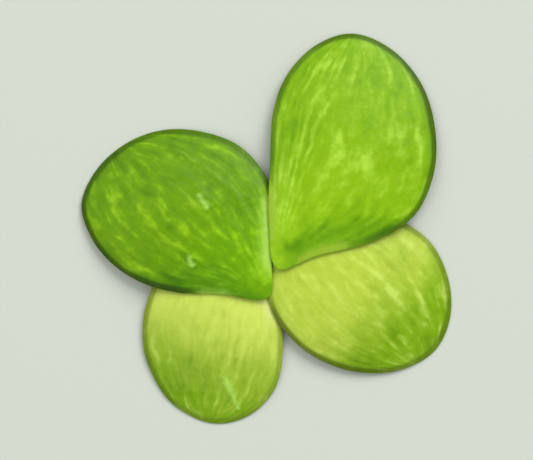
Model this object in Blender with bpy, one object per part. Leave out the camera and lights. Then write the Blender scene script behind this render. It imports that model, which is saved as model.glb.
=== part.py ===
"""A colony of giant duckweed, lying as picked on a flat surface, in metres with +Z up.

Four fronds have grown from one another and meet at the colony's middle. Each is a thin
disc, domed a little, that leans on its neighbours there and touches the surface with its
tip. Short stalks join them, and a tuft of roots under each lies along the surface.
"""
import math

import bpy
import bmesh
from mathutils import Matrix, Vector
from mathutils.geometry import interpolate_bezier

MM = 0.001

# A frond's body
THICKNESS = 0.40 * MM        # through the middle
CAMBER = 0.36 * MM           # how far the middle stands above the rim
DOME_ROUNDNESS = 1.0         # more makes the dome steeper half-way out and flatter at the rim
SETTLE = 0.18 * MM           # how far the lowest parts of the rim are pressed flat
PRESSED_RIM = 0.05 * MM      # height of the rim's outermost line where it is pressed flat
RIM_BLUNTNESS = 4            # power of the rounding where the upper and lower sides meet
RIM_STEPS = 3                # straight runs between two rim points
UPPER_RINGS = (0.3, 0.56, 0.76, 0.89, 0.97)
LOWER_RINGS = (0.98, 0.93, 0.85, 0.72, 0.52, 0.27)

# Stalks
STALK_RADIUS = 0.12 * MM
STALK_SIDES = 8
STALK_STEPS = 7
STALK_SAG = 0.12 * MM        # how far a stalk's bend would hang below its lower end at most
STALK_TIGHTNESS = 0.9        # how far the bend is drawn out towards that lowest point

# Roots, and the small round scale that each tuft of them grows from
ROOTS_PER_FROND = 8
ROOT_RADIUS = 0.08 * MM
ROOT_TIP_SHARE = 0.6         # a root's width at its tip, as a share of that at its start
ROOT_SIDES = 6
ROOT_POINTS = 9
ROOT_LENGTH = 3.6 * MM
ROOT_LENGTH_SPREAD = 0.6 * MM
ROOT_SHORTENING = 0.1 * MM   # step by which a root is cut back until the frond covers it
ROOT_COVERED = 0.9           # how far out towards the rim a root may run
ROOT_DESCENT = 0.4           # the share of its length in which a root sinks to the surface
ROOT_FAN = math.radians(165)
ROOT_BEND = math.radians(50)  # outer roots of the fan turn back by half of this along their length
ROOT_BEND_SPREAD = 0.4       # the share of it by which single roots differ
ROOT_WAVE = math.radians(26)
ROOT_WAVES = 1.3             # bends to and fro along a root
SCALE_RADIUS = 0.42 * MM
SCALE_THICKNESS = 0.15 * MM

CLEARANCE = 0.06 * MM        # kept between pieces that touch
WELD = 0.001 * MM            # points closer than this are one point

# Each frond from above: its rim's points anticlockwise, where it stands highest and where
# it touches the surface, the height of the first above the second, and where its root
# scale is, all in millimetres.
FRONDS = {
    "bottom": {
        "rim": [
            (-0.50, -1.80), (-2.15, -0.95), (-3.90, -1.50), (-4.72, -2.90), (-4.90, -4.50),
            (-4.55, -5.80), (-3.70, -7.05), (-2.20, -7.80), (-0.75, -7.55), (0.35, -6.50),
            (0.70, -5.00), (0.50, -3.20),
        ],
        "high": (-0.5, -2.1), "low": (-2.3, -7.9), "lift": 0.31, "scale": (-1.4, -3.6),
        "colour": (0.42, 0.62, 0.09),
    },
    "right": {
        "rim": [
            (0.12, -2.20), (0.25, -3.25), (0.92, -4.28), (2.00, -5.17), (3.55, -5.74), (5.30, -5.70),
            (6.75, -4.95), (7.40, -3.60), (7.32, -2.00), (6.55, -0.50), (5.10, 0.40), (3.30, 0.70),
            (1.60, 0.30), (0.50, -0.90),
        ],
        "high": (0.1, -2.3), "low": (7.5, -3.2), "lift": 0.49, "scale": (2.2, -2.6),
        "colour": (0.42, 0.63, 0.10),
    },
    "left": {
        "rim": [
            (0.08, -2.80), (0.27, -1.30), (0.32, 0.30), (0.12, 1.85), (-0.95, 3.22), (-2.50, 3.85),
            (-4.10, 3.92), (-5.55, 3.40), (-6.72, 2.38), (-7.35, 1.00), (-7.00, -0.30), (-6.20, -1.35),
            (-5.00, -2.15), (-3.50, -2.57), (-1.80, -2.63),
        ],
        "high": (-1.0, -2.6), "low": (-4.6, 3.9), "lift": 0.78, "scale": (-2.2, 0.1),
        "colour": (0.10, 0.33, 0.02),
    },
    "top": {
        "rim": [
            (0.45, -1.62), (2.10, -1.12), (4.30, -0.55), (5.92, 0.45), (6.72, 2.10), (6.80, 3.90),
            (6.28, 5.70), (5.08, 7.12), (3.50, 7.77), (1.98, 7.27), (0.84, 6.05), (0.30, 4.50),
            (0.18, 2.40), (0.14, 0.30),
        ],
        "high": (0.5, -1.5), "low": (4.0, 7.7), "lift": 0.99, "scale": (2.0, 1.9),
        "colour": (0.25, 0.56, 0.04),
    },
}

# Each stalk by the frond that it carries: the frond that it grows from, where it leaves
# that one, and where it reaches its own, in millimetres.
STALKS = {
    "left": ("top", (0.95, 0.65), (0.42, 0.4)),
    "right": ("top", (1.35, 1.1), (1.05, 0.2)),
    "bottom": ("left", (-0.85, -0.35), (-1.1, -1.05)),
}


def clean_scene():
    for item in list(bpy.data.objects):
        bpy.data.objects.remove(item, do_unlink=True)


def material(name, colour, roughness):
    made = bpy.data.materials.new(name)
    made.use_nodes = True
    shader = made.node_tree.nodes["Principled BSDF"]
    shader.inputs["Base Color"].default_value = (*colour, 1.0)
    shader.inputs["Roughness"].default_value = roughness
    shader.inputs["Metallic"].default_value = 0.0
    made.diffuse_color = (*colour, 1.0)
    return made


def flat_point(pair):
    return Vector((*pair, 0.0)) * MM


def smooth_loop(points, steps):
    """Points on the closed curve that passes through the given ones without a corner."""
    count = len(points)
    loop = []
    for i in range(count):
        before, start, end, after = (points[(i + k) % count] for k in (-1, 0, 1, 2))
        handle_out = start + (end - before) / 6
        handle_in = end - (after - start) / 6
        loop += interpolate_bezier(start, handle_out, handle_in, end, steps + 1)[:-1]
    return loop


class Frond:
    """The shape of one frond: where its rim runs, and how high its two sides are."""

    def __init__(self, rim, high, low, lift, scale, colour):
        self.rim = smooth_loop([flat_point(pair) for pair in rim], RIM_STEPS)
        self.centre = sum(self.rim, Vector()) / len(self.rim)
        offsets = [edge - self.centre for edge in self.rim]
        moments = [[sum(a[i] * a[j] for a in offsets) for i in (0, 1)] for j in (0, 1)]
        self.oval = Matrix(moments).inverted() * (len(offsets) / 2)
        self.high = flat_point(high)
        self.slope = flat_point(low) - self.high
        self.lift = lift * MM
        self.scale = flat_point(scale)
        self.colour = colour

    def descent(self, point):
        """0 where the frond stands highest, 1 where it touches the surface."""
        share = (point - self.high).dot(self.slope) / self.slope.length_squared
        return min(1.0, max(0.0, share))

    def spread(self, point):
        """0 at the centre, 1 at the rim, measured along the line from one to the other."""
        offset = point - self.centre
        for a, b in zip(self.rim, self.rim[1:] + self.rim[:1]):
            start, side = a - self.centre, b - a
            turn = offset.x * side.y - offset.y * side.x
            share = (offset.y * start.x - offset.x * start.y) / turn if turn else -1.0
            crossing = start + side * share
            if 0.0 <= share <= 1.0 and crossing.dot(offset) > 0.0:
                return offset.length / crossing.length
        return 0.0

    def dome(self, point):
        """1 at the centre, 0 along the oval that fits the rim best, and no ridge to a corner."""
        offset = (point - self.centre).to_2d()
        at_rim = math.exp(-DOME_ROUNDNESS)
        here = math.exp(-DOME_ROUNDNESS * offset.dot(self.oval @ offset))
        return (here - at_rim) / (1.0 - at_rim)

    def hang(self, point):
        """The underside's height before its rim is rounded and pressed flat."""
        return self.lift * (1.0 - self.descent(point)) + CAMBER * self.dome(point) - SETTLE

    def rounding(self, spread):
        """How far each side has drawn in towards the sheet's middle."""
        left = max(0.0, 1.0 - spread ** RIM_BLUNTNESS)
        return 0.5 * THICKNESS * (1.0 - math.sqrt(left))

    def underside(self, point, spread):
        return max(0.0, self.hang(point) + self.rounding(spread))

    def upper_side(self, point, spread):
        return max(PRESSED_RIM, self.hang(point) + THICKNESS - self.rounding(spread))

    def stalk_height(self, point):
        """Just below the frond where it covers the point, or level with its rim beside it."""
        spread = self.spread(point)
        if spread > 1.0:
            return self.underside(point, 1.0)
        return self.underside(point, spread) - CLEARANCE - STALK_RADIUS / 2


def finish_object(name, mesh, origin, look):
    """Makes an object of the mesh, whose own origin is at the given point."""
    bmesh.ops.recalc_face_normals(mesh, faces=mesh.faces)
    bmesh.ops.translate(mesh, verts=mesh.verts, vec=-origin)
    data = bpy.data.meshes.new(name)
    mesh.to_mesh(data)
    mesh.free()
    data.shade_smooth()
    data.materials.append(look)
    item = bpy.data.objects.new(name, data)
    item.location = origin
    bpy.context.scene.collection.objects.link(item)
    return item


def make_frond(name, shape, look):
    """A closed lens of rings: out along the upper side, round the rim and back below."""
    mesh = bmesh.new()

    def ring(spread, side):
        points = [shape.centre.lerp(edge, spread) for edge in shape.rim]
        return [mesh.verts.new((point.x, point.y, side(point, spread))) for point in points]

    rings = [ring(spread, shape.upper_side) for spread in UPPER_RINGS]
    rings.append(ring(1.0, shape.upper_side))
    rings += [ring(spread, shape.underside) for spread in LOWER_RINGS]
    for upper, lower in zip(rings, rings[1:]):
        for i in range(len(upper)):
            mesh.faces.new((upper[i - 1], lower[i - 1], lower[i], upper[i]))
    crown, hollow = ring(0.0, shape.upper_side)[0], ring(0.0, shape.underside)[0]
    for i in range(len(shape.rim)):
        mesh.faces.new((crown, rings[0][i - 1], rings[0][i]))
        mesh.faces.new((hollow, rings[-1][i], rings[-1][i - 1]))
    bmesh.ops.delete(mesh, geom=[vert for vert in mesh.verts if not vert.link_faces], context="VERTS")
    return finish_object(name, mesh, shape.centre, look)


def tube(points, radii, sides):
    """A closed tube along the points, its ends filled and welded to its wall."""
    curve = bpy.data.curves.new("path", "CURVE")
    curve.dimensions = "3D"
    curve.bevel_depth = 1.0
    curve.bevel_resolution = sides // 2 - 2
    curve.use_fill_caps = True
    line = curve.splines.new("POLY")
    line.points.add(len(points) - 1)
    for knot, point, radius in zip(line.points, points, radii):
        knot.co = (*point, 1.0)
        knot.radius = radius
    item = bpy.data.objects.new("path", curve)
    bpy.context.scene.collection.objects.link(item)
    bpy.context.view_layer.update()
    evaluated = item.evaluated_get(bpy.context.evaluated_depsgraph_get())
    mesh = bmesh.new()
    mesh.from_mesh(bpy.data.meshes.new_from_object(evaluated))
    bpy.data.objects.remove(item, do_unlink=True)
    bmesh.ops.remove_doubles(mesh, verts=mesh.verts, dist=WELD)
    return mesh


def make_stalk(name, parent_shape, own_shape, leaves_at, reaches, look):
    """A short round stalk that leaves one frond's underside and bends to another frond."""
    start, end = flat_point(leaves_at), flat_point(reaches)
    start.z = parent_shape.stalk_height(start)
    end.z = own_shape.stalk_height(end)
    below = (start + end) / 2
    below.z = min(start.z, end.z) - STALK_SAG
    handles = [point.lerp(below, STALK_TIGHTNESS) for point in (start, end)]
    path = interpolate_bezier(start, *handles, end, STALK_STEPS)
    return finish_object(name, tube(path, [STALK_RADIUS] * len(path), STALK_SIDES), start, look)


def root_path(shape, start, heading, bend, phase, length):
    """A root sinks from its scale to the surface and winds along it, while the frond covers it."""
    step = length / (ROOT_POINTS - 1)
    points = [start]
    for k in range(1, ROOT_POINTS):
        share = k / (ROOT_POINTS - 1)
        way = heading + bend * share + ROOT_WAVE * math.sin(ROOT_WAVES * math.tau * share + phase)
        point = points[-1] + Vector((math.cos(way), math.sin(way), 0.0)) * step
        sunk = min(1.0, share / ROOT_DESCENT)
        point.z = start.z + (ROOT_RADIUS - start.z) * (3.0 - 2.0 * sunk) * sunk ** 2
        spread = shape.spread(point)
        if spread > ROOT_COVERED or shape.underside(point, spread) < 2 * ROOT_RADIUS + CLEARANCE:
            return None
        points.append(point)
    return points


def longest_root(shape, start, heading, bend, phase, wanted):
    """The root's path at the wanted length, or at the longest that stays under the frond."""
    length = wanted
    path = root_path(shape, start, heading, bend, phase, length)
    while path is None:
        length -= ROOT_SHORTENING
        path = root_path(shape, start, heading, bend, phase, length)
    return path


def make_roots(name, shape, look):
    """The roots of one frond, all grown from a small round scale on its underside."""
    place = shape.scale.copy()
    place.z = shape.underside(place, shape.spread(place)) - CLEARANCE - SCALE_THICKNESS / 2
    flatten = Matrix.Diagonal((1.0, 1.0, SCALE_THICKNESS / (2 * SCALE_RADIUS), 1.0))
    mesh = bmesh.new()
    bmesh.ops.create_icosphere(
        mesh, subdivisions=2, radius=SCALE_RADIUS, matrix=Matrix.Translation(place) @ flatten)
    tuft = finish_object(name, mesh, place, look)
    ahead = math.atan2(shape.centre.y - place.y, shape.centre.x - place.x)
    for k in range(ROOTS_PER_FROND):
        side = k / (ROOTS_PER_FROND - 1) - 0.5
        heading = ahead + side * ROOT_FAN
        bend = ROOT_BEND * (ROOT_BEND_SPREAD * math.sin(2.4 * k + 1.0) - side)
        start = place + Vector((math.cos(heading), math.sin(heading), 0.0)) * SCALE_RADIUS / 2
        wanted = ROOT_LENGTH + ROOT_LENGTH_SPREAD * math.sin(1.7 * k)
        path = longest_root(shape, start, heading, bend, 1.3 * k, wanted)
        taper = (1.0 - ROOT_TIP_SHARE) / (ROOT_POINTS - 1)
        radii = [ROOT_RADIUS * (1.0 - taper * i) for i in range(ROOT_POINTS)]
        fuse(tuft, finish_object("root", tube(path, radii, ROOT_SIDES), start, look))
    tuft.data.shade_smooth()
    return tuft


def fuse(body, other):
    """Joins the other object to the body in one solid, and removes it."""
    union = body.modifiers.new("union", "BOOLEAN")
    union.operation = "UNION"
    union.solver = "EXACT"
    union.object = other
    bpy.context.view_layer.update()
    evaluated = body.evaluated_get(bpy.context.evaluated_depsgraph_get())
    fused = bpy.data.meshes.new_from_object(evaluated)
    look = body.data.materials[0]
    body.modifiers.clear()
    body.data = fused
    fused.materials.clear()
    fused.materials.append(look)
    bpy.data.objects.remove(other, do_unlink=True)


def middle_of(points):
    """The middle of the box around the points."""
    low = Vector(min(point[k] for point in points) for k in range(3))
    high = Vector(max(point[k] for point in points) for k in range(3))
    return (low + high) / 2


def main():
    clean_scene()
    stalk_look = material("stalk", (0.62, 0.72, 0.38), 0.5)
    root_look = material("root", (0.66, 0.70, 0.45), 0.5)
    shapes = {side: Frond(**given) for side, given in FRONDS.items()}
    pieces = []
    for side, shape in shapes.items():
        frond_look = material(f"frond_{side}", shape.colour, 0.35)
        pieces.append(make_frond(f"frond_{side}", shape, frond_look))
        pieces.append(make_roots(f"roots_{side}", shape, root_look))
    for side, (parent, leaves_at, reaches) in STALKS.items():
        joined = shapes[parent], shapes[side]
        pieces.append(make_stalk(f"stalk_{side}", *joined, leaves_at, reaches, stalk_look))
    colony = bpy.data.objects.new("colony", None)
    colony.location = -middle_of([point for shape in shapes.values() for point in shape.rim])
    bpy.context.scene.collection.objects.link(colony)
    for piece in pieces:
        piece.parent = colony


main()
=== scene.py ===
import math

import bpy
import numpy as np
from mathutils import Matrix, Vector
from mathutils.geometry import interpolate_bezier


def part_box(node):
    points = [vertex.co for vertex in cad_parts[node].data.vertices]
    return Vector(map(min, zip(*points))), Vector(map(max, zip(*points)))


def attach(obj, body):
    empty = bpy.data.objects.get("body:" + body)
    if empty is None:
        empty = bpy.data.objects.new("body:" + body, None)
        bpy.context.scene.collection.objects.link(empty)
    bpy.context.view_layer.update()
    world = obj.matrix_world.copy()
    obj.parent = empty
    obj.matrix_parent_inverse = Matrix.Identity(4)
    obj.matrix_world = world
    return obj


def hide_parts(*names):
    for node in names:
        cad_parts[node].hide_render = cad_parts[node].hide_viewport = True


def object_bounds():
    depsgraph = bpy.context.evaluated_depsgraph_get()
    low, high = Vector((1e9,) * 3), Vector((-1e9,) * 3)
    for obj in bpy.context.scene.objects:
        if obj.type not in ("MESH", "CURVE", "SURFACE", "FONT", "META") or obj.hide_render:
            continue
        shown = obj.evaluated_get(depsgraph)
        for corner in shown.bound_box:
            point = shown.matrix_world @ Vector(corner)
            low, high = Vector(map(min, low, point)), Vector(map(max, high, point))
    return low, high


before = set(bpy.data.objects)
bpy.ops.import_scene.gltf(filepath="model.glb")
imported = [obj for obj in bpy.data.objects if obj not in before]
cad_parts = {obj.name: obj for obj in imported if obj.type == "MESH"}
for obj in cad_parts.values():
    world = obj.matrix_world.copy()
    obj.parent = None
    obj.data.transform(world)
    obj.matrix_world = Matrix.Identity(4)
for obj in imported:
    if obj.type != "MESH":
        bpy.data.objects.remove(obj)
cad_low, cad_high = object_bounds()


# Bottom frond
# A young frond, and the lowest of the four. It is a thin disc of soft leaf tissue full of
# small air spaces, domed a little, and pale where it has only just grown. It grew out of
# the left frond, which lies over its base.

MM = 0.001
LEAST = 0.001 * MM           # the least length that is divided by
THICKNESS = 0.40 * MM
CAMBER = 0.36 * MM           # how far the middle stands above the rim
DOME_ROUNDNESS = 1.0         # more makes the dome steeper half-way out and flatter at the rim
SETTLE = 0.18 * MM           # how far the lowest parts of the rim are pressed flat
PRESSED_RIM = 0.05 * MM      # height of the rim's outermost line where it is pressed flat
RIM_BLUNTNESS = 4            # power of the rounding where the upper and lower sides meet
RIM_STEPS = 32               # points for each span between two rim points
NERVES_GATHER = 0.2 * MM     # half width below which the nerves draw together no further


def smooth_loop(points, steps):
    """Points on the closed curve that passes through the given ones without a corner."""
    points = [Vector(point) for point in points]
    count = len(points)
    loop = []
    for i in range(count):
        before, start, end, after = (points[(i + k) % count] for k in (-1, 0, 1, 2))
        handle_out = start + (end - before) / 6
        handle_in = end - (after - start) / 6
        loop += interpolate_bezier(start, handle_out, handle_in, end, steps + 1)[:-1]
    return np.array(loop)


def smooth(value, none, full):
    """0 at the first of the two given values and 1 at the second, with a soft start and end."""
    share = np.clip((value - none) / (full - none), 0.0, 1.0)
    return share * share * (3.0 - 2.0 * share)


class Frond:
    """The shape of one frond, on the place that its solid has in the frame.

    Points are arrays of x and y in metres; the figures given are millimetres. A spread is
    a point's share of the way from the frond's centre to its rim.
    """

    def __init__(self, node, rim, high, low, lift, base, tip):
        loop = smooth_loop(rim, RIM_STEPS) * MM
        corners = np.array([corner[:2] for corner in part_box(node)])
        self.shift = corners.mean(axis=0) - (loop.min(axis=0) + loop.max(axis=0)) / 2
        self.rim = loop + self.shift
        self.centre = self.rim.mean(axis=0)
        offsets = self.rim - self.centre
        self.oval = np.linalg.inv(2 * offsets.T @ offsets / len(offsets))
        self.angles = np.arctan2(offsets[:, 1], offsets[:, 0])
        self.radii = np.hypot(offsets[:, 0], offsets[:, 1])
        self.high = self.at(high)
        self.slope = self.at(low) - self.high
        self.lift = lift * MM
        self.base = self.at(base)
        self.axis = self.at(tip) - self.base

    def at(self, pair):
        """A point given in the colony's millimetres, in metres on the frame."""
        return np.array(pair) * MM + self.shift

    def reach(self, points):
        """How far the rim is from the centre, in the direction of each point."""
        offsets = points - self.centre
        turned = np.arctan2(offsets[..., 1], offsets[..., 0])
        return np.interp(turned, self.angles, self.radii, period=math.tau)

    def spread(self, points):
        """0 at the centre, 1 at the rim, measured along the line from one to the other."""
        offsets = points - self.centre
        return np.hypot(offsets[..., 0], offsets[..., 1]) / self.reach(points)

    def inside(self, points):
        """How far each point is inside the rim in metres, less than 0 outside it."""
        return (1.0 - self.spread(points)) * self.reach(points)

    def hang(self, points):
        """The underside's height before its rim is rounded and pressed flat."""
        descent = np.clip((points - self.high) @ self.slope / (self.slope @ self.slope), 0.0, 1.0)
        offsets = points - self.centre
        squared = np.sum((offsets @ self.oval) * offsets, axis=-1)
        at_rim = math.exp(-DOME_ROUNDNESS)
        dome = (np.exp(-DOME_ROUNDNESS * squared) - at_rim) / (1.0 - at_rim)
        return self.lift * (1.0 - descent) + CAMBER * dome - SETTLE

    def rounding(self, spread):
        """How far each side has drawn in towards the sheet's middle."""
        return 0.5 * THICKNESS * (1.0 - np.sqrt(np.clip(1.0 - spread ** RIM_BLUNTNESS, 0.0, 1.0)))

    def underside(self, points, spread):
        """The height of the lower side."""
        return np.maximum(0.0, self.hang(points) + self.rounding(spread))

    def upper_side(self, points, spread):
        """The height of the upper side."""
        return np.maximum(PRESSED_RIM, self.hang(points) + THICKNESS - self.rounding(spread))

    def flow(self, points):
        """Where points lie along the nerves: 0 at the base to 1 at the tip, -1 to 1 across.

        The third result is the frond's half width beside each point, in metres.
        """
        length = np.hypot(*self.axis)
        ahead = self.axis / length
        aside = np.array((-ahead[1], ahead[0]))
        along, offset = (points - self.base) @ ahead / length, (points - self.base) @ aside
        rim_along, rim_offset = (self.rim - self.base) @ ahead / length, (self.rim - self.base) @ aside
        half = np.zeros(len(points))
        for side in (1.0, -1.0):
            edge = np.flatnonzero(rim_offset * side > 0)
            edge = edge[np.argsort(rim_along[edge])]
            width = np.interp(along, rim_along[edge], np.abs(rim_offset[edge]))
            half = np.where(offset * side > 0, width, half)
        across = np.clip(offset / np.maximum(half, NERVES_GATHER), -1.0, 1.0)
        return np.clip(along, 0.0, 1.0), across, half


UPPER_RINGS = 84
LOWER_RINGS = 44
RING_CROWDING = 1.4          # more crowds the rings towards the rim
# From each of these spreads outwards, a ring has one point to so many of the rim's
RING_THINNING = ((0.5, 1), (0.25, 2), (0.12, 4), (0.0, 8))
TURN_UNDER = 0.06            # share of the radius in which the rim's colour becomes the underside's


def bridge(first, second):
    """Faces between two rings of points, of which one may have more points than the other."""
    steps = max(len(first), len(second))
    faces = []
    for k in range(steps):
        corners = [
            ring[(k + turn) * len(ring) // steps % len(ring)]
            for ring, turn in ((first, 0), (second, 0), (second, 1), (first, 1))
        ]
        faces.append(list(dict.fromkeys(corners)))
    return faces


def lens(shape):
    """A closed lens of rings: out along the upper side, round the rim and back below.

    The results are the points as seen from above, their heights and spreads, how far each
    has turned under, and the faces.
    """
    out = 1.0 - (1.0 - np.linspace(0.0, 1.0, UPPER_RINGS)) ** RING_CROWDING
    back = 1.0 - (1.0 - np.linspace(1.0, 0.0, LOWER_RINGS)) ** RING_CROWDING
    points, heights, spreads, below, faces, last = [], [], [], [], [], None
    for side, shares, turned in ((shape.upper_side, out, 0.0), (shape.underside, back[1:], 1.0)):
        for share in shares:
            thinning = next(step for limit, step in RING_THINNING if share >= limit)
            edge = shape.rim[::thinning] if share > 0.0 else shape.rim[:1]
            ring = shape.centre + share * (edge - shape.centre)
            indices = range(len(points), len(points) + len(ring))
            points += list(ring)
            heights += list(side(ring, share))
            spreads += [share] * len(ring)
            below += [turned * smooth(1.0 - share, 0.0, TURN_UNDER)] * len(ring)
            if last is not None:
                faces += bridge(last, indices)
            last = indices
    return np.array(points), np.array(heights), np.array(spreads), np.array(below), faces


# painted shade where another frond lies below: full strength this far inside that frond's rim
BACKED_SHADE_BLUR = 0.8 * MM      # how far inside its rim a frond below shows through in full
RIM_DARKENS = (0.1, 0.27)    # shares of the length from the base between which the dark rim begins


def nearness(points, size, start, end):
    """1 on the line between two places, falling softly to 0 beyond the size."""
    way = end - start
    share = np.clip((points - start) @ way / max(way @ way, LEAST ** 2), 0.0, 1.0)
    gaps = points - start - share[:, None] * way
    return np.exp(-(np.hypot(*gaps.T) / size) ** 2)


def near_lines(points, shape, lines):
    """The nearness to the nearest of a frond's lines, each given by its size, start and end."""
    nearest = np.zeros(len(points))
    for size, start, end in lines:
        nearest = np.maximum(nearest, nearness(points, size * MM, shape.at(start), shape.at(end)))
    return nearest


def frond_mesh(name, shape, under, glint_bumps, thin_lit_margin, patches, dark_side, dark_rim):
    """A frond's mesh, with what its relief and its finish need to know at each point.

    That is the way along the nerves and across them, how far the rim is and how dark its
    line is painted there, the painted shade where another frond lies below, how near the
    bumps with painted glints and the stretches of margin painted pale are, how much paler or
    darker a soft patch makes it, and whether it is on the underside.
    """
    points, heights, spreads, below, faces = lens(shape)
    along, across, half = shape.flow(points)
    # painted shade where another frond lies below, standing in for the light that passes through both
    backed_shade = np.zeros(len(points))
    for other in under:
        backed_shade = np.maximum(backed_shade, smooth(other.inside(points), 0.0, BACKED_SHADE_BLUR))
    # soft patches, paler or darker: mostly tissue tone, some painted shade where another frond lies below
    # and some painted highlight along margins where fronds meet
    tone_and_painted_light = np.zeros(len(points))
    for x, y, size, strength in patches:
        place = shape.at((x, y))
        tone_and_painted_light += strength * nearness(points, size * MM, place, place)
    # stretches of margin painted pale: partly thin tissue, partly a painted highlight where the edge
    # catches the light between fronds
    thin_lit_nearness = near_lines(points, shape, thin_lit_margin)
    outward = points - shape.centre
    outward /= np.maximum(np.hypot(*outward.T), LEAST)[:, None]
    # how dark the rim's painted line is: partly painted shade of the rounded edge, darker towards the dark
    # side
    darkness = np.clip(dark_rim + outward @ np.array(dark_side), 0.0, 1.0)
    facts = {
        "along": along,
        "across": across,
        "half_width": half / MM,
        "to_rim": (1.0 - spreads) * shape.reach(points) / MM,
        # the rim's dark line is left out along the stretches painted pale
        "rim_shade": darkness * (smooth(along, *RIM_DARKENS) * (1.0 - thin_lit_nearness)),
        "backed_shade": backed_shade,
        "blister": near_lines(points, shape, glint_bumps),
        "thin_lit_margin": thin_lit_nearness,
        "tone_and_painted_light": tone_and_painted_light,
        "below": below,
    }
    mesh = bpy.data.meshes.new(name)
    mesh.from_pydata(np.column_stack((points, heights)).tolist(), [], faces)
    for fact, values in facts.items():
        mesh.attributes.new(fact, "FLOAT", "POINT").data.foreach_set("value", values.astype(np.float32))
    mesh.shade_smooth()
    return mesh


class Wiring:
    """Adds nodes to a tree, and wires each input to the value or the output it is given."""

    def __init__(self, tree):
        self.tree = tree

    def node(self, kind, *values, **settings):
        made = self.tree.nodes.new(kind)
        for setting, choice in settings.items():
            setattr(made, setting, choice)
        for socket, value in zip(made.inputs, values):
            self.feed(socket, value)
        return made

    def add(self, kind, *values, **settings):
        return self.node(kind, *values, **settings).outputs[0]

    def feed(self, socket, value):
        if isinstance(value, bpy.types.NodeSocket):
            self.tree.links.new(value, socket)
        elif value is not None:
            socket.default_value = value

    def math(self, operation, *values):
        return self.add("ShaderNodeMath", *values, operation=operation)

    def times(self, *values):
        product = values[0]
        for value in values[1:]:
            product = self.math("MULTIPLY", product, value)
        return product

    def total(self, *values):
        result = values[0]
        for value in values[1:]:
            result = self.math("ADD", result, value)
        return result

    def around_zero(self, shade):
        """A shade from 0 to 1, moved to lie from -0.5 to 0.5."""
        return self.math("SUBTRACT", shade, 0.5)

    def varied(self, shade, strength):
        """A shade from 0 to 1 made a change up or down, by half the strength at most."""
        return self.times(self.around_zero(shade), strength)

    def step(self, value, none, full):
        """0 at the first of the two given values and 1 at the second, with a soft start and end."""
        ends = (none, full, 0.0, 1.0) if none < full else (full, none, 1.0, 0.0)
        return self.add("ShaderNodeMapRange", value, *ends, interpolation_type="SMOOTHSTEP")

    def noise(self, vector, per_unit, detail=1.0):
        """Soft patches, about so many to each unit of the vector."""
        return self.add("ShaderNodeTexNoise", vector, None, per_unit, detail)

    def cells(self, vector, per_unit):
        """The distance from the middle of the nearest of many small cells, rounded where they meet."""
        return self.add("ShaderNodeTexVoronoi", vector, None, per_unit, feature="SMOOTH_F1")


def new_tree(name, **inputs):
    """An empty tree of Geometry Nodes with the inputs named, and its wiring."""
    tree = bpy.data.node_groups.new(name, "GeometryNodeTree")
    tree.interface.new_socket("Geometry", in_out="INPUT", socket_type="NodeSocketGeometry")
    for label, kind in inputs.items():
        tree.interface.new_socket(label, in_out="INPUT", socket_type=f"NodeSocket{kind}")
    tree.interface.new_socket("Geometry", in_out="OUTPUT", socket_type="NodeSocketGeometry")
    wiring = Wiring(tree)
    return tree, wiring, wiring.node("NodeGroupInput").outputs


def grow(name, source, tree, **inputs):
    """The object that a tree makes of the source mesh, as a plain mesh of its own."""
    seed = bpy.data.objects.new("seed", source)
    bpy.context.scene.collection.objects.link(seed)
    growth = seed.modifiers.new("growth", "NODES")
    growth.node_group = tree
    for socket in tree.interface.items_tree:
        if socket.in_out == "INPUT" and socket.name in inputs:
            growth[socket.identifier] = inputs[socket.name]
    evaluated = seed.evaluated_get(bpy.context.evaluated_depsgraph_get())
    mesh = bpy.data.meshes.new_from_object(evaluated)
    mesh.name = name
    bpy.data.objects.remove(seed, do_unlink=True)
    grown = bpy.data.objects.new(name, mesh)
    bpy.context.scene.collection.objects.link(grown)
    return grown


WANDER_SCALE = 900.0         # nerves leave their lanes about once a millimetre
WANDER = 0.1                 # by up to this share of the frond's half width
NERVES_FADE = (0.25, 1.0)    # millimetres from the rim between which the nerves appear
NERVES_START = (0.0, 0.35)   # shares of the length between which the nerves begin
NERVES_END = (1.0, 0.7)      # shares of the length between which the nerves die out
RELIEF_FADE = (0.05, 0.5)    # millimetres from the rim between which the skin's relief appears
FROND_RELIEF = {
    "nerves": 4.5,           # on each side of the middle one
    "nerve_width": 0.22,     # millimetres from a nerve's ridge to its foot
    "nerve_height": 0.014 * MM,
    "cell_scale": 3600.0,    # cells and ripples to the metre
    "cell_height": 0.016 * MM,
    "ripple_scale": 420.0,
    "ripple_height": 0.07 * MM,
    "blister_height": 0.035 * MM,
}


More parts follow.
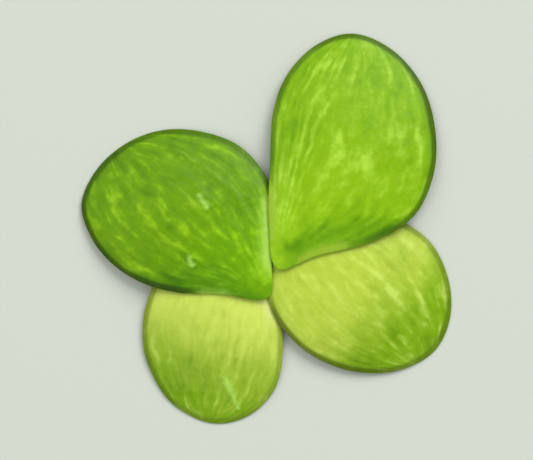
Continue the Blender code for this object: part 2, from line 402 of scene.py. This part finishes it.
def relief_tree():
    """Raises a frond's nerves, the cells of its skin and the small bumps that carry painted glints, and
    ripples it.
    """
    tree, wiring, given = new_tree(
        "frond_relief", nerves="Float", nerve_width="Float", nerve_height="Float", cell_scale="Float",
        cell_height="Float", ripple_scale="Float", ripple_height="Float", blister_height="Float",
        finish="Material")

    def fact(name):
        return wiring.add("GeometryNodeInputNamedAttribute", name)

    place = wiring.add("GeometryNodeInputPosition")
    wander = wiring.varied(wiring.noise(place, WANDER_SCALE), WANDER)
    lane = wiring.times(wiring.math("ADD", fact("across"), wander), given["nerves"])
    off_lane = wiring.math("ABSOLUTE", wiring.around_zero(wiring.math("FRACT", lane)))
    off_nerve = wiring.times(wiring.math("DIVIDE", off_lane, given["nerves"]), fact("half_width"))
    nerve = wiring.times(
        wiring.step(wiring.math("DIVIDE", off_nerve, given["nerve_width"]), none=1.0, full=0.0),
        wiring.step(fact("to_rim"), *NERVES_FADE),
        wiring.step(fact("along"), *NERVES_END),
        wiring.step(fact("along"), *NERVES_START))
    calm_rim = wiring.step(fact("to_rim"), *RELIEF_FADE)
    cell = wiring.math("SUBTRACT", 0.5, wiring.cells(place, given["cell_scale"]))
    ripple = wiring.around_zero(wiring.noise(place, given["ripple_scale"]))
    raised = wiring.total(
        wiring.times(nerve, given["nerve_height"]),
        wiring.times(fact("blister"), given["blister_height"]),
        wiring.times(cell, calm_rim, given["cell_height"]),
        wiring.times(ripple, calm_rim, given["ripple_height"]))
    outward = wiring.node("ShaderNodeVectorMath", wiring.add("GeometryNodeInputNormal"), operation="SCALE")
    wiring.feed(outward.inputs["Scale"], raised)
    kept = wiring.add("GeometryNodeStoreNamedAttribute", given["Geometry"], True, "nerve", nerve)
    moved = wiring.add("GeometryNodeSetPosition", kept, True, None, outward.outputs[0])
    realized = wiring.add("GeometryNodeRealizeInstances", moved)
    finished = wiring.add("GeometryNodeSetMaterial", realized, True, given["finish"])
    wiring.node("NodeGroupOutput", finished)
    return tree


relief = relief_tree()


def colour(code):
    """A colour given as six hexadecimal digits, as the linear values that a shader takes."""
    parts = [int(code[k:k + 2], 16) / 255 for k in (0, 2, 4)]
    return (*(part / 12.92 if part <= 0.04045 else ((part + 0.055) / 1.055) ** 2.4 for part in parts), 1.0)


BUMP_STRENGTH = 0.4


class Skin(Wiring):
    """The material of a plant's skin. Its places are millimetres on the object."""

    def __init__(self, name):
        self.look = bpy.data.materials.new(name)
        self.look.use_nodes = True
        super().__init__(self.look.node_tree)
        metres = self.node("ShaderNodeTexCoord").outputs["Object"]
        self.place = self.add("ShaderNodeVectorMath", metres, (1 / MM,) * 3, operation="MULTIPLY")

    def fact(self, label):
        """What the mesh says about each point under that name."""
        return self.node("ShaderNodeAttribute", attribute_name=label).outputs["Fac"]

    def patches(self, per_mm, detail=1.0):
        return self.noise(self.place, per_mm, detail)

    def flecks(self, vector, per_unit):
        """A random shade for each of many small cells, blended where they meet."""
        cells = self.node("ShaderNodeTexVoronoi", vector, None, per_unit, feature="SMOOTH_F1")
        return cells.outputs["Color"]

    def tint(self, share, first, second, way="MIX"):
        """The first colour where the share is 0, the second where it is 1."""
        mixer = self.node("ShaderNodeMix", data_type="RGBA", blend_type=way)
        for index, value in ((0, share), (6, first), (7, second)):
            self.feed(mixer.inputs[index], value)
        return mixer.outputs[2]

    def blend(self, leaf, share, code, strength=1.0, way="MIX"):
        """The leaf's colour, with another mixed into it or multiplied onto it."""
        return self.tint(self.times(share, strength), leaf, colour(code), way)

    def bump(self, height, depth):
        return self.node("ShaderNodeBump", BUMP_STRENGTH, depth, None, height).outputs[0]

    def finish(self, sockets):
        """The material, once the shader's sockets have been given their wires and values."""
        shader = self.tree.nodes["Principled BSDF"]
        for label, value in sockets.items():
            self.feed(shader.inputs[label], value)
        return self.look


STREAKS_ACROSS = 10.0        # streaks of airier tissue from the middle of a frond to its rim
STREAKS_ALONG = 6.5          # and from its base to its tip
NERVE_PALENESS = 0.08
BACKED_SHADE_TINT = "d4e4ea"
GLINT_COLOUR = "b8e468"
UNDERSIDE_GREEN = "94ac50"
UNDERSIDE_PURPLE = "7a4b55"


def marbled(skin, leaf, clouds, airy, dense_and_shade, contrast):
    """Airier tissue in streaks and flecks along the nerves, denser tissue in softer patches."""
    along = skin.fact("along")
    from_base = skin.step(along, none=-0.05, full=0.35)
    across = skin.total(skin.fact("across"), skin.varied(skin.patches(per_mm=1.1), strength=0.12))
    lanes = skin.add(
        "ShaderNodeCombineXYZ", skin.times(across, STREAKS_ACROSS), skin.times(along, STREAKS_ALONG),
        skin.fact("below"))
    streaks = skin.times(skin.varied(skin.noise(lanes, per_unit=1.0), strength=1.7), from_base)
    flecks = skin.times(skin.varied(skin.flecks(lanes, per_unit=1.3), strength=0.35), from_base)
    grain = skin.varied(skin.patches(per_mm=3.6), strength=0.7)
    mottle = skin.total(
        skin.fact("tone_and_painted_light"),
        skin.varied(clouds, strength=0.3),
        skin.varied(skin.patches(per_mm=1.7), strength=0.4))
    air = skin.total(mottle, streaks, grain, flecks, skin.times(skin.fact("nerve"), NERVE_PALENESS))
    leaf = skin.blend(leaf, skin.step(air, none=-0.1, full=0.7), airy, strength=contrast)
    density = skin.total(mottle, skin.times(streaks, 0.5), skin.times(grain, 0.4))
    return skin.blend(leaf, skin.step(density, none=0.05, full=-0.7), dense_and_shade, way="MULTIPLY")


def edged(skin, leaf, clouds, thin_lit_margin, dense_and_shade, dark_rim):
    """The margin painted pale along given stretches, and elsewhere a painted shade towards the dark rim
    line.
    """
    to_rim = skin.fact("to_rim")
    # the margin painted pale: partly thin tissue, partly a painted highlight where it catches the light
    margin = skin.times(skin.fact("thin_lit_margin"), skin.step(to_rim, none=1.2, full=0.1))
    frayed = skin.total(margin, skin.varied(skin.patches(per_mm=3.0), strength=0.7))
    paleness = skin.times(skin.step(frayed, none=0.0, full=1.0), skin.step(margin, none=0.0, full=0.9))
    leaf = skin.blend(leaf, paleness, thin_lit_margin, strength=0.9)
    edge = skin.total(to_rim, skin.varied(clouds, strength=0.12))
    # painted shade that deepens towards the rounded edge, multiplied on in the dense tint
    shoulder = skin.times(skin.step(edge, none=0.6, full=0.1), skin.fact("rim_shade"))
    leaf = skin.blend(leaf, shoulder, dense_and_shade, strength=0.4, way="MULTIPLY")
    # the dark line along the rim: partly painted shade of the rounded edge, partly the purple-tinged
    # underside showing at the margin
    line = skin.times(skin.step(edge, none=0.28, full=0.14), skin.fact("rim_shade"))
    return skin.blend(leaf, line, dark_rim)


def frond_look(name, pale, green, dense_and_shade, airy, thin_lit_margin, contrast, dark_rim, ripening, lean=0.0):
    """Leaf skin: pale where young, marbled where it holds more or less air, with a dark rim.

    The ripening gives the shares of the length between which the pale colour turns green,
    and the lean how much sooner it does so to the left of the way from base to tip. Denser
    tissue is multiplied by the dense tint, which also gives the painted shade towards the
    rim, and airier tissue turns to the airy one. Along given stretches the margin has its
    own pale colour, partly for thin tissue and partly as a painted highlight.
    """
    skin = Skin(name)
    clouds = skin.patches(per_mm=0.6)
    ripe = skin.total(
        skin.fact("along"), skin.times(skin.fact("across"), lean), skin.varied(clouds, strength=0.35))
    leaf = skin.tint(skin.step(ripe, *ripening), colour(pale), colour(green))
    leaf = marbled(skin, leaf, clouds, airy, dense_and_shade, contrast)
    # painted shade: darker where another frond lies below, multiplied on in the backed shade tint
    leaf = skin.blend(leaf, skin.fact("backed_shade"), BACKED_SHADE_TINT, strength=0.9, way="MULTIPLY")
    # painted glints: ragged pale streaks on small raised bumps
    blister = skin.fact("blister")
    ragged = skin.total(blister, skin.varied(skin.patches(per_mm=4.5), strength=1.5))
    painted_glint = skin.times(skin.step(ragged, none=0.3, full=1.1), blister)
    leaf = skin.blend(leaf, painted_glint, GLINT_COLOUR, strength=0.75)
    leaf = edged(skin, leaf, clouds, thin_lit_margin, dense_and_shade, dark_rim)
    blotches = skin.step(skin.patches(per_mm=1.1, detail=2.0), none=0.35, full=0.65)
    underside = skin.tint(blotches, colour(UNDERSIDE_GREEN), colour(UNDERSIDE_PURPLE))
    return skin.finish({
        "Base Color": skin.tint(skin.fact("below"), leaf, underside),
        "Roughness": skin.step(skin.patches(per_mm=9.0, detail=2.0), none=-0.6, full=2.2),
        "Normal": skin.bump(skin.cells(skin.place, per_unit=11.0), depth=0.02 * MM),
        "Subsurface Weight": 0.25,
        "Subsurface Radius": (0.7, 1.0, 0.25),
        "Subsurface Scale": 0.2 * MM,
        "IOR": 1.42,
        "Specular IOR Level": 0.18,
    })


def make_frond(side, shape, finish, dark_rim, dark_side, patches, under=(), glint_bumps=(), thin_lit_margin=()):
    """A frond with its finish, in place of its solid. The lists hold its own marks.

    A patch is its place, size and strength; the patches are mostly tissue tone, some are
    painted shade and some painted highlight. Each bump with a painted glint and each stretch
    of margin painted pale is its size, start and end, all in millimetres. The rim's painted
    dark line is darker towards the dark side.
    """
    mesh = frond_mesh(f"frond_{side}", shape, under, glint_bumps, thin_lit_margin, patches, dark_side, dark_rim)
    frond = grow(f"{side}_frond", mesh, relief, finish=finish, **FROND_RELIEF)
    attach(frond, "root")
    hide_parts(f"frond_{side}")


bottom = Frond(
    "frond_bottom",
    rim=[
        (-0.50, -1.80), (-2.15, -0.95), (-3.90, -1.50), (-4.72, -2.90), (-4.90, -4.50), (-4.55, -5.80),
        (-3.70, -7.05), (-2.20, -7.80), (-0.75, -7.55), (0.35, -6.50), (0.70, -5.00), (0.50, -3.20),
    ],
    high=(-0.5, -2.1), low=(-2.3, -7.9), lift=0.31, base=(-1.1, -1.2), tip=(-2.3, -7.8))
make_frond(
    "bottom", bottom,
    frond_look(
        "young_frond_skin", pale="d6e664", green="80ae02", dense_and_shade="b8d084", airy="d6ec68", thin_lit_margin="e4ec90",
        contrast=0.55, dark_rim="505810", ripening=(0.1, 1.0), lean=-0.05),
    dark_rim=0.45, dark_side=(-0.05, 0.12),
    patches=[
        (0.0, -3.4, 0.9, 0.3), (-3.0, -5.7, 1.1, -0.25), (-0.2, -4.6, 0.8, 0.15), (-4.2, -2.9, 0.6, 0.15),
        (-0.9, -5.4, 0.4, -0.25), (-1.7, -7.2, 0.5, 0.15), (-3.2, -7.0, 0.4, 0.15),
    ],
    # small raised bumps with painted glints
    glint_bumps=[(0.2, (-1.62, -5.95), (-1.3, -6.7)), (0.16, (-1.3, -6.7), (-1.1, -7.15))],
    thin_lit_margin=[(0.8, (0.2, -3.2), (-0.1, -2.8))])


# Right frond
# Nearly full grown and pale, with green coming in patches from the far end. It grew from
# the top frond's right side, which still covers its base.

right = Frond(
    "frond_right",
    rim=[
        (0.12, -2.20), (0.25, -3.25), (0.92, -4.28), (2.00, -5.17), (3.55, -5.74), (5.30, -5.70),
        (6.75, -4.95), (7.40, -3.60), (7.32, -2.00), (6.55, -0.50), (5.10, 0.40), (3.30, 0.70),
        (1.60, 0.30), (0.50, -0.90),
    ],
    high=(0.1, -2.3), low=(7.5, -3.2), lift=0.49, base=(1.0, -0.2), tip=(6.0, -5.3))
make_frond(
    "right", right,
    frond_look(
        "pale_frond_skin", pale="bed648", green="88b414", dense_and_shade="b0cc70", airy="d6ee70", thin_lit_margin="d8e884",
        contrast=0.7, dark_rim="465008", ripening=(0.5, 0.88)),
    dark_rim=0.6, dark_side=(-0.14, 0.0), under=[bottom],
    patches=[
        (1.5, -3.2, 1.1, 0.05), (5.2, -0.9, 1.0, -0.15), (3.6, -5.2, 0.9, -0.3), (5.2, -4.2, 0.35, -0.4),
        (6.1, -3.4, 0.3, -0.3), (4.7, -3.0, 0.3, -0.25), (6.4, -4.5, 0.35, -0.3), (5.0, -2.5, 0.35, 0.3),
        (4.4, -3.9, 0.3, 0.3), (3.4, -4.3, 0.35, 0.3), (6.0, -2.7, 0.3, 0.1),
    ])


# Left frond
# The darkest, full-grown frond. It hangs from the top frond's left side and lies over the
# bottom frond; a painted shade darkens it where that one lies below.

left = Frond(
    "frond_left",
    rim=[
        (0.08, -2.80), (0.27, -1.30), (0.32, 0.30), (0.12, 1.85), (-0.95, 3.22), (-2.50, 3.85),
        (-4.10, 3.92), (-5.55, 3.40), (-6.72, 2.38), (-7.35, 1.00), (-7.00, -0.30), (-6.20, -1.35),
        (-5.00, -2.15), (-3.50, -2.57), (-1.80, -2.63),
    ],
    high=(-1.0, -2.6), low=(-4.6, 3.9), lift=0.78, base=(0.1, -2.6), tip=(-5.9, 3.2))
make_frond(
    "left", left,
    frond_look(
        "dark_frond_skin", pale="72ac04", green="70a202", dense_and_shade="94b458", airy="a4d81c", thin_lit_margin="b4e05c",
        contrast=0.85, dark_rim="2c4404", ripening=(0.1, 0.6)),
    dark_rim=0.6, dark_side=(-0.15, -0.12), under=[bottom],
    patches=[
        # the first three are a painted highlight along the margin where the top frond meets it
        (0.1, -1.6, 0.6, 0.5), (0.2, -0.5, 0.5, 0.6), (0.2, 0.8, 0.5, 0.5), (-2.9, 3.0, 1.1, -0.12),
        (-1.9, -0.2, 1.1, 0.1), (-3.7, -2.0, 0.8, -0.25), (-1.2, -1.9, 0.6, 0.12),
        (-2.15, 1.6, 0.2, -0.4), (-5.2, 2.4, 1.2, -0.15), (-0.9, 1.0, 0.8, -0.15),
    ],
    # small raised bumps with painted glints
    glint_bumps=[(0.17, (-2.6, 1.25), (-2.35, 0.85)), (0.17, (-3.0, -1.2), (-2.9, -1.5))],
    # along the right margin this is a painted highlight where the top frond's edge meets it
    thin_lit_margin=[(0.7, (0.25, 0.8), (0.15, -1.2)), (0.5, (-2.4, -2.85), (-1.7, -2.9))])


# Top frond
# The mother of the other three, full grown and bright green. It lies over the right frond,
# where a painted shade darkens its lower end, and its left edge rests on the left frond.

top = Frond(
    "frond_top",
    rim=[
        (0.45, -1.62), (2.10, -1.12), (4.30, -0.55), (5.92, 0.45), (6.72, 2.10), (6.80, 3.90),
        (6.28, 5.70), (5.08, 7.12), (3.50, 7.77), (1.98, 7.27), (0.84, 6.05), (0.30, 4.50),
        (0.18, 2.40), (0.14, 0.30),
    ],
    high=(0.5, -1.5), low=(4.0, 7.7), lift=0.99, base=(0.5, -1.5), tip=(3.6, 7.7))
make_frond(
    "top", top,
    frond_look(
        "bright_frond_skin", pale="9acc16", green="8abc08", dense_and_shade="94bc60", airy="bcea4c", thin_lit_margin="a4c838",
        contrast=0.8, dark_rim="365006", ripening=(0.1, 0.6)),
    dark_rim=0.62, dark_side=(0.15, 0.12), under=[right],
    patches=[
        # the darkening patches near the lower end are painted shade where the right frond lies below
        (0.6, 0.6, 0.8, 0.2), (1.1, 4.0, 1.0, -0.12), (1.4, 5.5, 0.8, -0.1), (3.4, 2.8, 1.1, 0.25),
        (4.9, 4.6, 0.9, 0.0), (2.0, -0.2, 0.8, -0.25), (3.6, 0.2, 0.8, -0.35),
        (1.1, -0.8, 0.5, -0.45), (5.0, -0.1, 0.6, -0.5),
    ],
    thin_lit_margin=[(0.6, (1.7, -1.3), (2.9, -0.95)), (0.4, (0.1, -0.3), (0.15, 1.5))])


# Stalks
# Each frond hangs on the one that it grew from by a short pale stalk, which leaves the
# older one's underside and bends into the younger one's base. It is soft, round and moist.

CLEARANCE = 0.06 * MM        # kept between pieces that touch
STALK_RADIUS = 0.12 * MM
STALK_WAIST = 0.8            # the radius half-way along, as a share of that
STALK_FLARE = 0.25           # how much more the radius is at both ends
STALK_SAG = 0.12 * MM        # how far a stalk's bend would hang below its lower end at most
STALK_TIGHTNESS = 0.9        # how far the bend is drawn out towards that lowest point
STALK_POINTS = 9
STALK_STEPS = 32
STALK_SIDES = 20
FLARE_STEEPNESS = 4.0        # more keeps a flare closer to the ends
POINT_STEEPNESS = 24.0       # more makes a strand's pointed end shorter


def paths_mesh(name, paths):
    """A mesh of edges alone, which run along each path."""
    points = [tuple(point) for path in paths for point in path]
    edges, first = [], 0
    for path in paths:
        edges += [(k, k + 1) for k in range(first, first + len(path) - 1)]
        first += len(path)
    mesh = bpy.data.meshes.new(name)
    mesh.from_pydata(points, edges, [])
    return mesh


def strand_tree():
    """Round strands along paths: they thin towards the tip, and can flare or end in a point."""
    tree, wiring, given = new_tree(
        "strands", count="Int", sides="Int", radius="Float", tip_share="Float", flare="Float",
        pointed="Float", finish="Material")
    curve = wiring.add("GeometryNodeMeshToCurve", given["Geometry"])
    curve = wiring.add("GeometryNodeCurveSplineType", curve, spline_type="CATMULL_ROM")
    curve = wiring.add("GeometryNodeResampleCurve", curve, True, given["count"])
    share = wiring.add("GeometryNodeSplineParameter")
    curve = wiring.add("GeometryNodeStoreNamedAttribute", curve, True, "way", share)
    thinned = wiring.math("MULTIPLY_ADD", share, wiring.math("SUBTRACT", given["tip_share"], 1.0), 1.0)
    from_middle = wiring.math("MULTIPLY_ADD", share, 2.0, -1.0)
    flare = wiring.times(given["flare"], wiring.math("POWER", from_middle, FLARE_STEEPNESS))
    drawn_in = wiring.times(given["pointed"], wiring.math("POWER", share, POINT_STEEPNESS))
    radius = wiring.times(
        given["radius"], thinned, wiring.total(1.0, flare), wiring.math("SUBTRACT", 1.0, drawn_in))
    ring = wiring.node("GeometryNodeCurvePrimitiveCircle", given["sides"])
    ring.inputs["Radius"].default_value = 1.0
    tube = wiring.add("GeometryNodeCurveToMesh", curve, ring.outputs[0], radius, True)
    smoothed = wiring.add("GeometryNodeSetShadeSmooth", tube)
    realized = wiring.add("GeometryNodeRealizeInstances", smoothed)
    finished = wiring.add("GeometryNodeSetMaterial", realized, True, given["finish"])
    wiring.node("NodeGroupOutput", finished)
    return tree


def strand_look(name, fresh, tip, ior):
    """Moist, nearly clear tissue that darkens towards its tip, a little patchily."""
    skin = Skin(name)
    patchy = skin.varied(skin.patches(per_mm=3.0), strength=0.5)
    shade = skin.total(skin.step(skin.fact("way"), none=0.6, full=1.0), patchy)
    return skin.finish({
        "Base Color": skin.tint(skin.step(shade, none=0.0, full=1.0), colour(fresh), colour(tip)),
        "Roughness": skin.step(skin.patches(per_mm=8.0, detail=2.0), none=0.1, full=1.6),
        "Normal": skin.bump(skin.patches(per_mm=14.0, detail=2.0), depth=0.01 * MM),
        "Subsurface Weight": 0.4,
        "Subsurface Radius": (1.0, 1.0, 0.6),
        "Subsurface Scale": 0.15 * MM,
        "IOR": ior,
    })


def stalk_path(parent, own, leaves_at, reaches):
    """A stalk's bend, from its place under the older frond to the younger one's base."""
    ends = []
    for shape, pair in ((parent, leaves_at), (own, reaches)):
        point = shape.at(pair)
        spread = float(shape.spread(point))
        drop = CLEARANCE + STALK_RADIUS / 2 if spread <= 1.0 else 0.0
        ends.append(Vector((*point, float(shape.underside(point, min(spread, 1.0))) - drop)))
    start, end = ends
    below = (start + end) / 2
    below.z = min(start.z, end.z) - STALK_SAG
    handles = [point.lerp(below, STALK_TIGHTNESS) for point in (start, end)]
    return interpolate_bezier(start, *handles, end, STALK_POINTS)


strands = strand_tree()
stalk_skin = strand_look("stalk_skin", fresh="c9d89a", tip="b4c878", ior=1.42)
for side, parent, own, leaves_at, reaches in (
    ("left", top, left, (0.95, 0.65), (0.42, 0.4)),
    ("right", top, right, (1.35, 1.1), (1.05, 0.2)),
    ("bottom", left, bottom, (-0.85, -0.35), (-1.1, -1.05)),
):
    stalk = grow(
        f"{side}_stalk", paths_mesh("stalk_path", [stalk_path(parent, own, leaves_at, reaches)]), strands,
        count=STALK_STEPS, sides=STALK_SIDES, radius=STALK_WAIST * STALK_RADIUS, tip_share=1.0,
        flare=STALK_FLARE, pointed=0.0, finish=stalk_skin)
    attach(stalk, "root")
    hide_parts(f"stalk_{side}")


# Root tufts
# Under each frond, eight fine roots hang from a small round scale, each ending in a
# pointed cap. They are whitish green and moist, and lie along what the plant is laid on.

ROOTS_PER_FROND = 8
ROOT_RADIUS = 0.08 * MM
ROOT_TIP_SHARE = 0.6         # a root's width at its tip, as a share of that at its start
ROOT_POINTS = 9
ROOT_STEPS = 48
ROOT_SIDES = 12
ROOT_LENGTH = 3.6 * MM
ROOT_LENGTH_SPREAD = 0.6 * MM
ROOT_SHORTENING = 0.1 * MM   # step by which a root is cut back until the frond covers it
ROOT_COVERED = 0.9           # how far out towards the rim a root may run
ROOT_DESCENT = 0.4           # the share of its length in which a root sinks to the surface
ROOT_FAN = math.radians(165)
ROOT_BEND = math.radians(50)  # outer roots of the fan turn back by half of this along their length
ROOT_BEND_SPREAD = 0.4       # the share of it by which single roots differ
ROOT_WAVE = math.radians(26)
ROOT_WAVES = 1.3             # bends to and fro along a root
LENGTH_TURN = 1.7            # radians from root to root, in the sines by which they differ
BEND_TURN = 2.4
BEND_START = 1.0
WAVE_TURN = 1.3
SCALE_RADIUS = 0.42 * MM
SCALE_THICKNESS = 0.15 * MM
SCALE_SUBDIVISIONS = 5


def root_path(shape, start, heading, bend, phase, length):
    """A root sinks from its scale to the surface and winds along it, while the frond covers it."""
    step = length / (ROOT_POINTS - 1)
    points = [start]
    for k in range(1, ROOT_POINTS):
        share = k / (ROOT_POINTS - 1)
        way = heading + bend * share + ROOT_WAVE * math.sin(ROOT_WAVES * math.tau * share + phase)
        point = points[-1] + Vector((math.cos(way), math.sin(way), 0.0)) * step
        point.z = start.z + (ROOT_RADIUS - start.z) * smooth(share, 0.0, ROOT_DESCENT)
        flat = np.array(point[:2])
        spread = float(shape.spread(flat))
        if spread > ROOT_COVERED or shape.underside(flat, spread) < 2 * ROOT_RADIUS + CLEARANCE:
            return None
        points.append(point)
    return points


def root_paths(shape, place):
    """The paths of a tuft's roots, each as long as it can be under its frond."""
    ahead = math.atan2(shape.centre[1] - place.y, shape.centre[0] - place.x)
    paths = []
    for k in range(ROOTS_PER_FROND):
        side = k / (ROOTS_PER_FROND - 1) - 0.5
        heading = ahead + side * ROOT_FAN
        bend = ROOT_BEND * (ROOT_BEND_SPREAD * math.sin(BEND_TURN * k + BEND_START) - side)
        start = place + Vector((math.cos(heading), math.sin(heading), 0.0)) * SCALE_RADIUS / 2
        length = ROOT_LENGTH + ROOT_LENGTH_SPREAD * math.sin(LENGTH_TURN * k)
        path = None
        while path is None:
            path = root_path(shape, start, heading, bend, WAVE_TURN * k, length)
            length -= ROOT_SHORTENING
        paths.append(path)
    return paths


def tuft_tree():
    """Strands along the paths, fused in one body with the flat round scale that they leave."""
    tree, wiring, given = new_tree(
        "root_tuft", count="Int", sides="Int", radius="Float", tip_share="Float", scale_place="Vector",
        scale_radius="Float", scale_flatness="Float", finish="Material")
    roots = wiring.node("GeometryNodeGroup", node_tree=strands)
    for label in ("Geometry", "count", "sides", "radius", "tip_share", "finish"):
        wiring.feed(roots.inputs[label], given[label])
    roots.inputs["flare"].default_value = 0.0
    roots.inputs["pointed"].default_value = 1.0
    ball = wiring.add("GeometryNodeMeshIcoSphere", given["scale_radius"], SCALE_SUBDIVISIONS)
    size = wiring.add("ShaderNodeCombineXYZ", 1.0, 1.0, given["scale_flatness"])
    scale = wiring.node("GeometryNodeTransform")
    for label, value in (("Geometry", ball), ("Translation", given["scale_place"]), ("Scale", size)):
        wiring.feed(scale.inputs[label], value)
    union = wiring.node("GeometryNodeMeshBoolean", operation="UNION", solver="EXACT")
    wiring.feed(union.inputs["Mesh 2"], roots.outputs[0])
    wiring.feed(union.inputs["Mesh 2"], scale.outputs[0])
    union.inputs["Self Intersection"].default_value = True
    smoothed = wiring.add("GeometryNodeSetShadeSmooth", union.outputs[0])
    realized = wiring.add("GeometryNodeRealizeInstances", smoothed)
    finished = wiring.add("GeometryNodeSetMaterial", realized, True, given["finish"])
    wiring.node("NodeGroupOutput", finished)
    return tree


tufts = tuft_tree()
root_skin = strand_look("root_skin", fresh="c3cc9a", tip="8f8f4a", ior=1.38)
for side, shape, grows_at in (
    ("bottom", bottom, (-1.4, -3.6)),
    ("right", right, (2.2, -2.6)),
    ("left", left, (-2.2, 0.1)),
    ("top", top, (2.0, 1.9)),
):
    flat = shape.at(grows_at)
    roof = float(shape.underside(flat, float(shape.spread(flat))))
    place = Vector((*flat, roof - CLEARANCE - SCALE_THICKNESS / 2))
    tuft = grow(
        f"{side}_roots", paths_mesh("root_paths", root_paths(shape, place)), tufts,
        count=ROOT_STEPS, sides=ROOT_SIDES, radius=ROOT_RADIUS, tip_share=ROOT_TIP_SHARE, scale_place=place,
        scale_radius=SCALE_RADIUS, scale_flatness=SCALE_THICKNESS / (2 * SCALE_RADIUS), finish=root_skin)
    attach(tuft, "root")
    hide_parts(f"roots_{side}")


# Floor
# A plain pale surface, smooth and a little dull, wide enough to fill every view. It lies a
# hair below the plant, so that nothing of the two is in one plane.

FLOOR_HALF = 2.0
FLOOR_DROP = 0.01 * MM

floor_mesh = bpy.data.meshes.new("floor")
floor_mesh.from_pydata(
    [(x * FLOOR_HALF, y * FLOOR_HALF, -FLOOR_DROP) for x, y in ((-1, -1), (1, -1), (1, 1), (-1, 1))], [],
    [(0, 1, 2, 3)])
floor = bpy.data.objects.new("floor", floor_mesh)
bpy.context.scene.collection.objects.link(floor)
floor_look = bpy.data.materials.new("floor")
floor_look.use_nodes = True
floor_shader = floor_look.node_tree.nodes["Principled BSDF"]
floor_shader.inputs["Base Color"].default_value = colour("d3dace")
floor_shader.inputs["Roughness"].default_value = 0.7
floor_mesh.materials.append(floor_look)


# Light
# Soft white light from the whole sky, and four large soft boxes that face the plant, the
# brightest of them at the upper right.

SKY_STRENGTH = 0.25
BOX_DISTANCE = 0.5

sky = bpy.data.worlds.new("sky")
sky.use_nodes = True
sky.node_tree.nodes["Background"].inputs["Color"].default_value = (1.0, 1.0, 1.0, 1.0)
sky.node_tree.nodes["Background"].inputs["Strength"].default_value = SKY_STRENGTH
bpy.context.scene.world = sky
bpy.context.scene.view_settings.view_transform = "Standard"
for name, azimuth, elevation, width, power in (
    ("key", 145, 44, 0.35, 1.7),
    ("fill", 225, 50, 0.5, 0.8),
    ("side", 320, 45, 0.5, 0.5),
    ("low", 50, 35, 0.4, 0.3),
):
    box = bpy.data.lights.new(name, "AREA")
    box.shape = "SQUARE"
    box.size = width
    box.energy = power
    lamp = bpy.data.objects.new(name, box)
    turn, rise = math.radians(azimuth), math.radians(elevation)
    away = Vector((math.sin(turn) * math.cos(rise), -math.cos(turn) * math.cos(rise), math.sin(rise)))
    lamp.location = away * BOX_DISTANCE
    lamp.rotation_euler = away.to_track_quat("Z", "Y").to_euler()
    bpy.context.scene.collection.objects.link(lamp)


# Camera
# Straight above the colony, with a long lens and from far enough away that hardly anything
# is foreshortened.

VIEW_WIDTH = 21.25 * MM      # what the picture's width spans on the colony
VIEW_DROP = 0.05 * MM        # how far the picture's middle is below the colony's
LENS = 200.0

eye = bpy.data.cameras.new("camera")
eye.lens = LENS
eye.clip_start = 0.01
camera = bpy.data.objects.new("camera", eye)
camera.location = (0.0, -VIEW_DROP, VIEW_WIDTH * LENS / eye.sensor_width + cad_high.z / 2)
bpy.context.scene.collection.objects.link(camera)
bpy.context.scene.camera = camera
